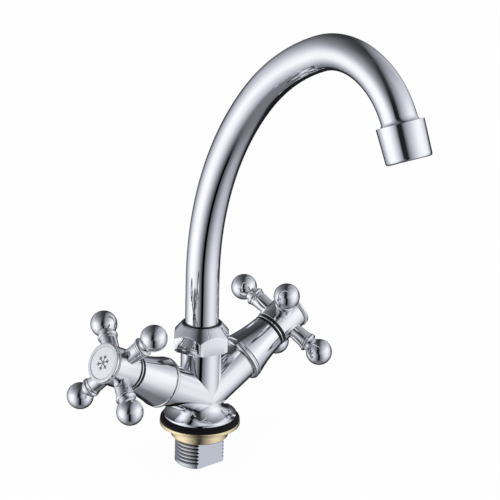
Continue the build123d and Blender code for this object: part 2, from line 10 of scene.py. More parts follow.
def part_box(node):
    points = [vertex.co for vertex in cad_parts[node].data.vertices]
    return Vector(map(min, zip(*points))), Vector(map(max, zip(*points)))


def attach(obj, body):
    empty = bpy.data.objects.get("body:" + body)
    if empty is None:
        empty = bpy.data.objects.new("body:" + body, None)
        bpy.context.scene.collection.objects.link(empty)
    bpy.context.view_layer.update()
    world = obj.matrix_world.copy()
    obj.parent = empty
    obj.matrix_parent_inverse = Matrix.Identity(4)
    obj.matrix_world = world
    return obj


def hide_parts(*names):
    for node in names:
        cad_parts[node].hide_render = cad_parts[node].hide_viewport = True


bl_info = {
    "name": "Two-handle kitchen faucet",
    "version": (1, 0, 0),
    "blender": (4, 5, 0),
    "location": "View3D > Sidebar > Faucet",
    "description": "Dresses the solid model of a chrome swan-neck faucet with cross handles",
    "category": "Object",
}

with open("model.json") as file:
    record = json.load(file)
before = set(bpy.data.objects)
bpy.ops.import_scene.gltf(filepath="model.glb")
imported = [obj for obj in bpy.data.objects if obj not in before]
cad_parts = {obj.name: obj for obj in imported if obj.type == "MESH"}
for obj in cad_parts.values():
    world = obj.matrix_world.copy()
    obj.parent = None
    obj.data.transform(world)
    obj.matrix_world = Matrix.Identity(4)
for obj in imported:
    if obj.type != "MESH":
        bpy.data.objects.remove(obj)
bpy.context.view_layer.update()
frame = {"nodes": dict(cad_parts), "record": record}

MM = 0.001
UP = np.array((0.0, 0.0, 1.0))
FRONT = np.array((0.0, -1.0, 0.0))
RIGHT = np.array((1.0, 0.0, 0.0))
SIDES = (("left", -1), ("right", 1))

# Where the arms' axes meet in the body, and how far out along them the covers' own
# measures start
ARMS_MEET = 15.2
ARM_LENGTH = 42.0

# How far each handle is turned, in degrees from the front, and where its spokes stand
# along the arm's line
SPOKE_ANGLES = {"left": 51.0, "right": 34.0}
SPOKE_PLACE = 30.6

# The spout's centre line: where it starts above the deck, its straight run up, and the
# radius and the angle of each bend towards the front
SPOUT_START = 59.0
SPOUT_RISE = 31.8
SPOUT_BENDS = ((184.4, 40.4), (134.7, 26.8), (48.2, 88.6))
TUBE_RADIUS = 10.0
TUBE_BORE = 8.8

# Where the camera stands, in degrees round the faucet and above it, and how far it is rolled
CAMERA_AZIMUTH = 41.68
CAMERA_HEIGHT_ANGLE = 19.354
CAMERA_ROLL = 1.582
CAMERA_SIDESTEP = 0.027445
CAMERA_AIM_HEIGHT = 0.10881


# ---------------------------------------------------------------- sizes and colours
class FaucetShapes(bpy.types.PropertyGroup):
    """Sizes of the visible pieces. Millimetre shapes follow the solid model."""

    columns: bpy.props.IntProperty(
        name="Steps round", description="Faces round each turned piece",
        default=96, min=24, max=256)
    edge_softness: bpy.props.FloatProperty(
        name="Edge softness", description="Rounding of polished edges",
        default=0.25 * MM, min=0.0, max=1.0 * MM, unit="LENGTH", subtype="DISTANCE")
    tube_step: bpy.props.FloatProperty(
        name="Tube step", description="Distance between the tube's rings of faces",
        default=1.3 * MM, min=0.5 * MM, max=10 * MM, unit="LENGTH", subtype="DISTANCE")
    bead_count: bpy.props.IntProperty(
        name="Beads", description="Beads round each index ring", default=56, min=12, max=90)
    mark_width: bpy.props.FloatProperty(
        name="Mark width", description="Width of the lines of the marks on the discs",
        default=0.6 * MM, min=0.1 * MM, max=1.0 * MM, unit="LENGTH", subtype="DISTANCE")
    arm_rise: bpy.props.FloatProperty(
        name="Arm rise", description="Angle of the arms above level",
        default=math.radians(28.2), subtype="ANGLE", unit="ROTATION")


class FaucetFinishes(bpy.types.PropertyGroup):
    """Colours and polish of the finishes."""

    chrome: bpy.props.FloatVectorProperty(
        name="Chrome", description="Colour of the chrome plate", subtype="COLOR",
        size=3, default=(0.93, 0.935, 0.95), min=0.0, max=1.0)
    chrome_cloud: bpy.props.FloatVectorProperty(
        name="Chrome cloud", description="Colour of the chrome where it is faintly hazed",
        subtype="COLOR", size=3, default=(0.86, 0.87, 0.90), min=0.0, max=1.0)
    chrome_roughness: bpy.props.FloatProperty(
        name="Chrome roughness", description="Roughness of clean chrome", default=0.018,
        min=0.0, max=1.0, subtype="FACTOR")
    brass: bpy.props.FloatVectorProperty(
        name="Brass", description="Colour of bare brass", subtype="COLOR", size=3,
        default=(1.0, 0.85, 0.52), min=0.0, max=1.0)
    brass_tarnish: bpy.props.FloatVectorProperty(
        name="Brass tarnish", description="Colour of tarnished brass", subtype="COLOR",
        size=3, default=(0.66, 0.44, 0.22), min=0.0, max=1.0)
    rubber: bpy.props.FloatVectorProperty(
        name="Rubber", description="Colour of the rubber", subtype="COLOR", size=3,
        default=(0.004, 0.004, 0.006), min=0.0, max=1.0)
    black_plastic: bpy.props.FloatVectorProperty(
        name="Black plastic", description="Colour of the glossy bushes", subtype="COLOR",
        size=3, default=(0.008, 0.008, 0.009), min=0.0, max=1.0)
    white_plastic: bpy.props.FloatVectorProperty(
        name="White plastic", description="Colour of the moulded inserts", subtype="COLOR",
        size=3, default=(0.80, 0.80, 0.77), min=0.0, max=1.0)
    ceramic: bpy.props.FloatVectorProperty(
        name="Ceramic", description="Colour of the lapped discs", subtype="COLOR", size=3,
        default=(0.86, 0.84, 0.78), min=0.0, max=1.0)
    steel: bpy.props.FloatVectorProperty(
        name="Steel", description="Colour of the steel fittings", subtype="COLOR", size=3,
        default=(0.60, 0.60, 0.61), min=0.0, max=1.0)
    satin: bpy.props.FloatVectorProperty(
        name="Satin metal", description="Colour of the discs in the handles",
        subtype="COLOR", size=3, default=(0.96, 0.96, 0.985), min=0.0, max=1.0)
    cold_mark: bpy.props.FloatVectorProperty(
        name="Cold mark", description="Enamel of the cold mark", subtype="COLOR", size=3,
        default=(0.012, 0.013, 0.022), min=0.0, max=1.0)
    hot_mark: bpy.props.FloatVectorProperty(
        name="Hot mark", description="Enamel of the hot mark", subtype="COLOR", size=3,
        default=(0.022, 0.012, 0.012), min=0.0, max=1.0)


class FaucetStudio(bpy.types.PropertyGroup):
    """The floor, the light and the camera."""

    floor_radius: bpy.props.FloatProperty(
        name="Floor radius", description="Radius of the floor", default=6.0, min=1.0,
        unit="LENGTH", subtype="DISTANCE")
    floor_colour: bpy.props.FloatVectorProperty(
        name="Floor", description="Colour of the floor", subtype="COLOR", size=3,
        default=(0.95, 0.95, 0.95), min=0.0, max=1.0)
    lamp_power: bpy.props.FloatProperty(
        name="Lamp power", description="Power of the soft lamp", default=9.0, min=0.0,
        unit="POWER")
    world_strength: bpy.props.FloatProperty(
        name="World strength", description="Level of the light from all round",
        default=0.72, min=0.0, max=2.0)
    tent_radius: bpy.props.FloatProperty(
        name="Tent radius", description="Radius of the light tent that metal reflects",
        default=4.0, min=2.0, unit="LENGTH", subtype="DISTANCE")
    camera_distance: bpy.props.FloatProperty(
        name="Camera distance", description="From the camera to the point it aims at",
        default=1.38817, min=0.2, unit="LENGTH", subtype="DISTANCE")
    camera_lens: bpy.props.FloatProperty(
        name="Lens", description="Focal length", default=170.07, min=10, unit="CAMERA")


# ---------------------------------------------------------------- surfaces
class Line:
    """A straight line in millimetres: a point on it, its direction, and two directions
    square to it and to each other."""

    def __init__(self, origin, along, across):
        self.origin = np.asarray(origin, float)
        self.along = np.asarray(along, float) / np.linalg.norm(along)
        side = across - self.along * np.dot(across, self.along)
        self.first = side / np.linalg.norm(side)
        self.second = np.cross(self.along, self.first)

    def radial(self, turn):
        """Directions square to the line: first * cos(turn) + second * sin(turn)."""
        turn = np.asarray(turn, float)[..., None]
        return np.cos(turn) * self.first + np.sin(turn) * self.second


COLUMN = Line((0, 0, 0), UP, FRONT)


def arm_line(side, rise):
    """The axis of one arm, from its open end outwards."""
    outward = np.array((side * math.cos(rise), 0.0, math.sin(rise)))
    return Line(ARMS_MEET * UP + outward * ARM_LENGTH, outward, FRONT)


def rounded(corners, steps=6):
    """Round the corners of a profile of (place, radius, rounding) rows. Each corner becomes
    the curve (1-s)^2 A + 2s(1-s) P + s^2 B, where P is the corner and A and B lie the
    rounding away from it on its two sides, or at most 0.45 of a side."""
    rows = np.asarray(corners, float)
    points, rounding = rows[:, :2], rows[:, 2]
    before, after = np.roll(points, 1, 0) - points, np.roll(points, -1, 0) - points
    length_before = np.linalg.norm(before, axis=1)
    length_after = np.linalg.norm(after, axis=1)
    reach = np.minimum(rounding, 0.45 * np.minimum(length_before, length_after))
    start = points + before * (reach / np.maximum(length_before, 1e-9))[:, None]
    end = points + after * (reach / np.maximum(length_after, 1e-9))[:, None]
    s = np.linspace(0, 1, steps)[None, :, None]
    curve = (1 - s) ** 2 * start[:, None] + 2 * s * (1 - s) * points[:, None] \
        + s ** 2 * end[:, None]
    curve = curve.reshape(-1, 2)
    fresh = np.linalg.norm(curve - np.roll(curve, 1, 0), axis=1) > 1e-6
    fresh[0] = True
    return curve[fresh]


def arc(first, middle, last, steps):
    """Points on the circle through three points, from the first to the last, as rows of
    (place, radius, 0) for a profile."""
    (ax, ay), (bx, by), (cx, cy) = first, middle, last
    size = 2 * (ax * (by - cy) + bx * (cy - ay) + cx * (ay - by))
    squares = np.array((ax * ax + ay * ay, bx * bx + by * by, cx * cx + cy * cy))
    x = squares @ np.array((by - cy, cy - ay, ay - by)) / size
    y = squares @ np.array((cx - bx, ax - cx, bx - ax)) / size
    radius = math.hypot(ax - x, ay - y)
    start = math.atan2(ay - y, ax - x)
    sweep_middle = (math.atan2(by - y, bx - x) - start) % math.tau
    sweep_last = (math.atan2(cy - y, cx - x) - start) % math.tau
    if sweep_middle > sweep_last:
        sweep_last -= math.tau
    turn = start + np.linspace(0, 1, steps) * sweep_last
    return np.stack((x + radius * np.cos(turn), y + radius * np.sin(turn), 0 * turn), 1)


def turned(line, profile, columns):
    """Carry a profile of (place, radius) points round a line:
    point = origin + place * along + radius * radial(turn), on a grid of profile by turn."""
    turn = np.arange(columns) * math.tau / columns
    place, radius = profile[:, 0, None, None], profile[:, 1, None, None]
    return line.origin + place * line.along + radius * line.radial(turn)[None]


def joined_grid(shape, close_rows, close_columns):
    """Quads that join a grid's neighbours, and its last rows or columns to its first where
    those are closed."""
    rows, columns = shape
    row = np.arange(rows if close_rows else rows - 1)
    column = np.arange(columns if close_columns else columns - 1)
    row, column = np.meshgrid(row, column, indexing="ij")
    next_row, next_column = (row + 1) % rows, (column + 1) % columns
    quads = (row * columns + column, row * columns + next_column,
             next_row * columns + next_column, next_row * columns + column)
    return np.stack(quads, -1).reshape(-1, 4)


def make_piece(name, grids, material, body, replaces=(), crease=32.0):
    """Make one mesh from grids of points in millimetres, each with whether its rows and its
    columns are closed. Doubles at poles are merged and faces turned outwards."""
    points, quads, count = [], [], 0
    for grid, close_rows, close_columns in grids:
        points.append(grid.reshape(-1, 3))
        quads.append(joined_grid(grid.shape[:2], close_rows, close_columns) + count)
        count += len(points[-1])
    points, quads = np.concatenate(points) * MM, np.concatenate(quads)
    mesh = bpy.data.meshes.new(name)
    mesh.vertices.add(len(points))
    mesh.vertices.foreach_set("co", points.astype(np.float32).ravel())
    mesh.loops.add(quads.size)
    mesh.loops.foreach_set("vertex_index", quads.astype(np.int32).ravel())
    mesh.polygons.add(len(quads))
    mesh.polygons.foreach_set("loop_start", np.arange(0, quads.size, 4, dtype=np.int32))
    mesh.update(calc_edges=True)
    shell = bmesh.new()
    shell.from_mesh(mesh)
    bmesh.ops.remove_doubles(shell, verts=shell.verts, dist=2e-7)
    bmesh.ops.dissolve_degenerate(shell, edges=shell.edges, dist=1e-8)
    bmesh.ops.recalc_face_normals(shell, faces=shell.faces)
    shell.to_mesh(mesh)
    shell.free()
    mesh.shade_smooth()
    mesh.set_sharp_from_angle(angle=math.radians(crease))
    mesh.materials.append(material)
    piece = bpy.data.objects.new(name, mesh)
    bpy.context.scene.collection.objects.link(piece)
    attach(piece, body)
    if replaces:
        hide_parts(*replaces)
    return piece


def turned_piece(name, line, corners, material, body, replaces, closed=True):
    """A piece turned from one profile. A closed profile makes a hollow ring, and an open
    one starts and ends on the line."""
    shapes = bpy.context.scene.faucet_shapes
    grid = turned(line, rounded(corners), shapes.columns)
    return make_piece(name, [(grid, closed, True)], material, body, replaces)


def route_points(lengths):
    """Centre and direction of the spout's route at each length along it: a straight run
    up, then arcs of the given radii and angles towards the front. On an arc the direction
    turns in proportion to the length run."""
    centre = np.zeros((len(lengths), 2))
    heading = np.full(len(lengths), math.pi / 2)
    at, angle, run = np.array((0.0, SPOUT_START)), math.pi / 2, 0.0
    for size, bend in ((SPOUT_RISE, 0.0),) + SPOUT_BENDS:
        length = math.radians(bend) * size if bend else size
        here = (lengths >= run - 1e-9) & (lengths <= run + length + 1e-9)
        part = np.clip(lengths - run, 0, length)
        turn = part / size if bend else 0 * part
        if bend:
            pivot = at + size * np.array((math.sin(angle), -math.cos(angle)))
            local = pivot + size * np.stack(
                (-np.sin(angle - turn), np.cos(angle - turn)), 1)
        else:
            local = at + part[:, None] * np.array((math.cos(angle), math.sin(angle)))
        centre = np.where(here[:, None], local, centre)
        heading = np.where(here, angle - turn, heading)
        if bend:
            angle -= math.radians(bend)
            at = pivot + size * np.array((-math.sin(angle), math.cos(angle)))
        else:
            at = at + length * np.array((math.cos(angle), math.sin(angle)))
        run += length
    flat = np.zeros(len(lengths))
    points = np.stack((flat, -centre[:, 0], centre[:, 1]), 1)
    directions = np.stack((flat, -np.cos(heading), np.sin(heading)), 1)
    return points, directions


ROUTE_LENGTH = SPOUT_RISE + sum(size * math.radians(bend) for size, bend in SPOUT_BENDS)
ROUTE_END, ROUTE_HEADING = (rows[0] for rows in route_points(np.array((ROUTE_LENGTH,))))
OUTLET = Line(ROUTE_END, ROUTE_HEADING, RIGHT)


# ---------------------------------------------------------------- shader expressions
class Shade:
    """A socket in a material's nodes. Arithmetic on a number adds Math nodes to it."""

    def __init__(self, nodes, socket):
        self.nodes, self.socket = nodes, socket

    def math(self, operation, *values):
        return self.nodes.add("ShaderNodeMath", {"operation": operation},
                              dict(enumerate(values)))

    def __add__(self, other):
        return self.math("ADD", self, other)

    def __sub__(self, other):
        return self.math("SUBTRACT", self, other)

    def __rsub__(self, other):
        return self.math("SUBTRACT", other, self)

    def __mul__(self, other):
        return self.math("MULTIPLY", self, other)

    def __truediv__(self, other):
        return self.math("DIVIDE", self, other)

    def __pow__(self, other):
        return self.math("POWER", self, other)

    __radd__, __rmul__ = __add__, __mul__

    def ramp(self, low, high, start=0.0, end=1.0):
        """From start to end as the value goes from low to high, eased at both ends."""
        return self.nodes.add("ShaderNodeMapRange", {"interpolation_type": "SMOOTHSTEP"},
                              {"Value": self, "From Min": low, "From Max": high,
                               "To Min": start, "To Max": end}, "Result")


class Nodes:
    """The node tree of one material."""

    def __init__(self, tree):
        self.tree = tree
        tree.nodes.clear()

    def add(self, kind, settings=None, inputs=None, output=0):
        """Add a node: its settings first, then the values or links of its sockets. Gives
        the named output."""
        node = self.tree.nodes.new(kind)
        for name, value in (settings or {}).items():
            if name == "stops":
                self._set_stops(node.color_ramp, value)
            else:
                setattr(node, name, value)
        for name, value in (inputs or {}).items():
            socket = node.inputs[name]
            if isinstance(value, Shade):
                self.tree.links.new(value.socket, socket)
            elif hasattr(value, "__len__"):
                value = tuple(value)
                socket.default_value = value + (1.0,) if len(value) == 3 \
                    and len(socket.default_value) == 4 else value
            else:
                socket.default_value = value
        return Shade(self, node.outputs[output]) if node.outputs else node

    def _set_stops(self, ramp, stops):
        while len(ramp.elements) > 1:
            ramp.elements.remove(ramp.elements[-1])
        for index, (position, colour) in enumerate(stops):
            element = ramp.elements[0] if index == 0 else ramp.elements.new(position)
            element.position = position
            level = (colour,) * 3 if not hasattr(colour, "__len__") else tuple(colour)
            element.color = level + (1.0,)

    def place(self):
        """Where a point is on the object, in metres."""
        return self.add("ShaderNodeTexCoord", output="Object")

    def split(self, vector):
        """The three numbers of a vector."""
        return tuple(self.add("ShaderNodeSeparateXYZ", {}, {0: vector}, axis)
                     for axis in ("X", "Y", "Z"))

    def dot(self, vector, direction):
        return self.add("ShaderNodeVectorMath", {"operation": "DOT_PRODUCT"},
                        {0: vector, 1: tuple(direction)}, "Value")

    def stretched(self, vector, scale, turn=(0, 0, 0)):
        return self.add("ShaderNodeMapping", {}, {"Vector": vector, "Scale": scale,
                                                  "Rotation": turn})

    def noise(self, vector, scale, detail=2.0, roughness=0.5):
        return self.add("ShaderNodeTexNoise", {}, {"Vector": vector, "Scale": scale,
                                                   "Detail": detail,
                                                   "Roughness": roughness}, 0)

    def mix(self, factor, first, second):
        """One colour going over to another."""
        node = self.tree.nodes.new("ShaderNodeMix")
        node.data_type = "RGBA"
        for name, value in ((0, factor), (6, first), (7, second)):
            socket = node.inputs[name]
            if isinstance(value, Shade):
                self.tree.links.new(value.socket, socket)
            elif hasattr(value, "__len__"):
                socket.default_value = tuple(value) + (1.0,)
            else:
                socket.default_value = value
        return Shade(self, node.outputs[2])

    def bump(self, height, distance, strength=1.0):
        return self.add("ShaderNodeBump", {}, {"Height": height, "Distance": distance,
                                               "Strength": strength})

    def surface(self, **inputs):
        """The principled shader, with socket names written with underscores."""
        named = {name.replace("_", " "): value for name, value in inputs.items()}
        shader = self.add("ShaderNodeBsdfPrincipled", {}, named)
        self.output(shader)
        return shader

    def output(self, shader):
        self.add("ShaderNodeOutputMaterial", {}, {"Surface": shader})


def new_material(name, build, *values):
    """Make a material with its nodes written by a function."""
    material = bpy.data.materials.new(name)
    material.use_nodes = True
    build(Nodes(material.node_tree), *values)
    return material


# ---------------------------------------------------------------- finishes
def polished_chrome(nodes, finishes):
    """Bright plate: a faint haze in clouds, wiped streaks in the polish, and the shallow
    unevenness of buffed metal."""
    place = nodes.place()
    cloud = nodes.noise(place, 26, 3)
    wipe = nodes.noise(nodes.stretched(place, (90, 90, 900), (0.4, 0.2, 0.0)), 1.0, 4, 0.6)
    uneven = nodes.noise(place, 160, 2)
    haze = cloud.ramp(0.42, 0.74)
    roughness = finishes.chrome_roughness + haze * 0.022 + wipe.ramp(0.5, 0.8) * 0.012
    nodes.surface(Base_Color=nodes.mix(haze * 0.5, finishes.chrome, finishes.chrome_cloud),
                  Metallic=1.0, Roughness=roughness,
                  Normal=nodes.bump(uneven, 0.00002, 0.35))


def cast_chrome(nodes, finishes):
    """Plate over the casting. Above the deck it is polished. Below it, on the shank, the plate
    is dull and finely turned, with painted shade darkening the roots of the thread."""
    place = nodes.place()
    x, y, z = nodes.split(place)
    cloud = nodes.noise(place, 30, 3)
    uneven = nodes.noise(place, 120, 3)
    grain = nodes.noise(nodes.stretched(place, (500, 500, 5000)), 1.0, 3, 0.6)
    below = z.ramp(0.0002, -0.0008)
    radius = (x * x + y * y) ** 0.5
    # Painted shade: mask for the roots of the thread below the deck, away from the flat
    root = radius.ramp(0.01462, 0.01405) * y.ramp(-0.0105, -0.0103) * below
    haze = cloud.ramp(0.42, 0.74)
    polished = finishes.chrome_roughness + 0.008 + haze * 0.03
    roughness = polished * (1 - below) + below * (0.14 + grain * 0.14)
    colour = nodes.mix(haze * 0.5, finishes.chrome, finishes.chrome_cloud)
    height = uneven * (1 - below) * 0.35 + grain * below
    plate = nodes.mix(below * 0.8, colour, (0.60, 0.62, 0.68))
    # The painted shade in the thread roots goes over the plate colour, towards near black
    nodes.surface(Base_Color=nodes.mix(root * 0.7, plate, (0.05, 0.05, 0.06)),
                  Metallic=1.0, Roughness=roughness,
                  Normal=nodes.bump(height, 0.00002, 0.6))


def bare_brass(nodes, finishes):
    """Turned brass: rings left by the tool, and tarnish in clouds and streaks."""
    place = nodes.place()
    x, y, z = nodes.split(place)
    radius = (x * x + y * y) ** 0.5
    rings = nodes.add("ShaderNodeMath", {"operation": "SINE"}, {0: radius * 9000})
    streaks = nodes.noise(nodes.stretched(place, (60, 60, 2600)), 1.0, 4, 0.6)
    cloud = nodes.noise(place, 70, 4, 0.6)
    tarnish = cloud.ramp(0.45, 0.78) * 0.45 + streaks.ramp(0.45, 0.8) * 0.25
    nodes.surface(Base_Color=nodes.mix(tarnish, finishes.brass, finishes.brass_tarnish),
                  Metallic=1.0, Roughness=0.27 + tarnish * 0.14 + rings * 0.02,
                  Normal=nodes.bump(rings * 0.3 + streaks, 0.00002, 0.6))


def machined_brass(nodes, finishes):
    """Clean machined brass, as on the hidden fittings."""
    place = nodes.place()
    grain = nodes.noise(nodes.stretched(place, (900, 900, 300)), 1.0, 3, 0.6)
    cloud = nodes.noise(place, 60, 3)
    nodes.surface(Base_Color=nodes.mix(cloud.ramp(0.4, 0.8) * 0.5, finishes.brass,
                                       finishes.brass_tarnish),
                  Metallic=1.0, Roughness=0.24 + grain * 0.12,
                  Normal=nodes.bump(grain, 0.00002, 0.5))


def moulded_rubber(nodes, finishes):
    """Matt rubber: a fine moulded grain, and a little bloom in patches."""
    place = nodes.place()
    grain = nodes.noise(place, 2600, 3, 0.6)
    bloom = nodes.noise(place, 90, 4, 0.65).ramp(0.5, 0.85)
    grey = tuple(0.02 + value for value in finishes.rubber)
    nodes.surface(Base_Color=nodes.mix(bloom * 0.55, finishes.rubber, grey),
                  Roughness=0.50 + bloom * 0.2 + grain * 0.08, Specular_IOR_Level=0.15,
                  Normal=nodes.bump(grain, 0.00006, 0.5))


def glossy_plastic(nodes, finishes):
    """Black moulded plastic with a gloss, and fine rubbed marks."""
    place = nodes.place()
    flow = nodes.noise(place, 240, 3)
    rub = nodes.noise(place, 900, 4, 0.7).ramp(0.55, 0.8)
    grey = tuple(0.03 + value for value in finishes.black_plastic)
    nodes.surface(Base_Color=nodes.mix(rub * 0.4, finishes.black_plastic, grey),
                  Roughness=0.26 + rub * 0.2, Specular_IOR_Level=0.22,
                  Normal=nodes.bump(flow, 0.00002, 0.4))


def matt_plastic(nodes, finishes):
    """White moulded plastic with a faint grain."""
    place = nodes.place()
    grain = nodes.noise(place, 1800, 3, 0.6)
    cloud = nodes.noise(place, 120, 3).ramp(0.4, 0.8)
    shade = tuple(0.88 * value for value in finishes.white_plastic)
    nodes.surface(Base_Color=nodes.mix(cloud * 0.6, finishes.white_plastic, shade),
                  Roughness=0.42 + grain * 0.12, Normal=nodes.bump(grain, 0.00003, 0.4))


def lapped_ceramic(nodes, finishes):
    """Lapped ceramic: smooth, with faint specks."""
    place = nodes.place()
    specks = nodes.noise(place, 1500, 4, 0.7).ramp(0.6, 0.85)
    shade = tuple(0.8 * value for value in finishes.ceramic)
    nodes.surface(Base_Color=nodes.mix(specks * 0.6, finishes.ceramic, shade),
                  Roughness=0.12 + specks * 0.15, Normal=nodes.bump(specks, 0.00001, 0.3))


def plain_steel(nodes, finishes):
    """Stainless steel with a drawn grain."""
    place = nodes.place()
    grain = nodes.noise(nodes.stretched(place, (2200, 2200, 260)), 1.0, 4, 0.6)
    shade = tuple(0.72 * value for value in finishes.steel)
    nodes.surface(Base_Color=nodes.mix(grain.ramp(0.35, 0.75) * 0.6, finishes.steel, shade),
                  Metallic=1.0, Roughness=0.24 + grain * 0.18,
                  Normal=nodes.bump(grain, 0.00002, 0.5))


def satin_metal(nodes, finishes, line):
    """Satin disc spun on its own axis: fine rings of varying brightness about the line."""
    place = nodes.place()
    centre = tuple(line.origin * MM)
    offset = nodes.add("ShaderNodeVectorMath", {"operation": "SUBTRACT"},
                       {0: place, 1: centre})
    first, second = nodes.dot(offset, line.first), nodes.dot(offset, line.second)
    radius = (first * first + second * second) ** 0.5
    spun = nodes.add("ShaderNodeCombineXYZ", {}, {"X": radius * 5200})
    rings = nodes.noise(spun, 1.0, 4, 0.65)
    cloud = nodes.noise(place, 160, 3).ramp(0.4, 0.8)
    shade = tuple(0.92 * value for value in finishes.satin)
    tone = rings.ramp(0.35, 0.7) * 0.7 + cloud * 0.25
    nodes.surface(Base_Color=nodes.mix(tone, finishes.satin, shade), Metallic=0.45,
                  Roughness=0.30 + rings * 0.14,
                  Normal=nodes.bump(rings, 0.00003, 0.5))


def mark_enamel(nodes, colour):
    """Enamel filling of a mark, slightly pooled."""
    place = nodes.place()
    pooled = nodes.noise(place, 1400, 3, 0.6)
    lighter = tuple(0.02 + 1.3 * value for value in colour)
    nodes.surface(Base_Color=nodes.mix(pooled.ramp(0.4, 0.75), colour, lighter),
                  Roughness=0.2 + pooled * 0.2, Normal=nodes.bump(pooled, 0.00003, 0.4))


SLOT_FINISHES = {
    "chrome": polished_chrome, "cast_brass": bare_brass, "machined_brass": machined_brass,
    "black_rubber": moulded_rubber, "black_plastic": glossy_plastic,
    "white_plastic": matt_plastic, "ceramic": lapped_ceramic, "steel": plain_steel,
}
MATERIALS = {}


class FAUCET_OT_finishes(bpy.types.Operator):
    """Make the finishes and give each part of the solid model its own"""

    bl_idname = "faucet.finishes"
    bl_label = "Finishes"

    def execute(self, context):
        finishes = context.scene.faucet_finishes
        for slot, build in SLOT_FINISHES.items():
            MATERIALS[slot] = new_material(f"faucet_{slot}", build, finishes)
        MATERIALS["casting"] = new_material("faucet_casting", cast_chrome, finishes)
        rise = context.scene.faucet_shapes.arm_rise
        for arm, side in SIDES:
            MATERIALS[f"{arm}_satin"] = new_material(f"faucet_{arm}_satin", satin_metal,
                                                     finishes, arm_line(side, rise))
        MATERIALS["cold"] = new_material("faucet_cold_mark", mark_enamel,
                                         tuple(finishes.cold_mark))
        MATERIALS["hot"] = new_material("faucet_hot_mark", mark_enamel,
                                        tuple(finishes.hot_mark))
        for part in frame["record"]["subparts"]:
            node = part["node"]
            finish = part["material_slot"]
            if finish == "satin_metal":
                finish = node.split("_")[0] + "_satin"
            elif node == "body_casting":
                finish = "casting"
            for holder in frame["nodes"][node].material_slots:
                holder.material = MATERIALS[finish]
        return {"FINISHED"}


# ---------------------------------------------------------------- base
class FAUCET_OT_base(bpy.types.Operator):
    """Make the rubber gasket under the base"""

    bl_idname = "faucet.base"
    bl_label = "Base gasket"

    def execute(self, context):
        corners = [(0, 14.85, 0.1), (0, 24.0, 0.35), (1.75, 24.0, 0.5),
                   (3.5, 22.3, 0.3), (3.5, 14.85, 0.1)]
        turned_piece("gasket", COLUMN, corners, MATERIALS["black_rubber"],
                     "body", ("base_gasket",))
        return {"FINISHED"}


# ---------------------------------------------------------------- spout
class FAUCET_OT_spout(bpy.types.Operator):
    """Make the bent tube and the aerator's cup on its end"""

    bl_idname = "faucet.spout"
    bl_label = "Spout"

    def execute(self, context):
        shapes = context.scene.faucet_shapes
        chrome = MATERIALS["chrome"]
        # The tube: a wall carried along the route, out along its outside and back along
        # its inside, with the radius given at each length, and belled at the outlet.
        steps = int(ROUTE_LENGTH / (shapes.tube_step / MM))
        outside = np.linspace(0, ROUTE_LENGTH - 2.8, steps)
        inside = outside[::-4]
        bell = np.array(((-2.1, 10.0), (-1.4, 10.11), (-0.9, 10.25), (-0.5, 10.48),
                         (-0.2, 10.7), (0.0, 10.85)))
        bell_lengths = ROUTE_LENGTH + bell[:, 0]
        lengths = np.concatenate((outside, bell_lengths, bell_lengths[-1:], inside,
                                  outside[:1]))
        radii = np.concatenate((np.full(steps, TUBE_RADIUS), bell[:, 1],
                                np.full(len(inside) + 2, TUBE_BORE)))
        centres, directions = route_points(lengths)
        turn = np.arange(shapes.columns) * math.tau / shapes.columns
        normals = np.cross(directions, RIGHT)
        spread = np.cos(turn)[None, :, None] * RIGHT \
            + np.sin(turn)[None, :, None] * normals[:, None]
        grid = centres[:, None] + radii[:, None, None] * spread
        make_piece("swan_neck", [(grid, True, True)], chrome, "spout",
                   ("spout_tube",))
        edge = shapes.edge_softness / MM
        cup = [(0, 11.0, 0.1), (0, 13.25, edge + 0.15), (20.1, 12.7, 1.7), (20.1, 9.7, edge),
               (18.2, 9.7, 0.1), (18.2, 11.0, 0)]
        turned_piece("aerator_cup", OUTLET, cup, chrome, "spout",
                     ("aerator_housing",))
        return {"FINISHED"}


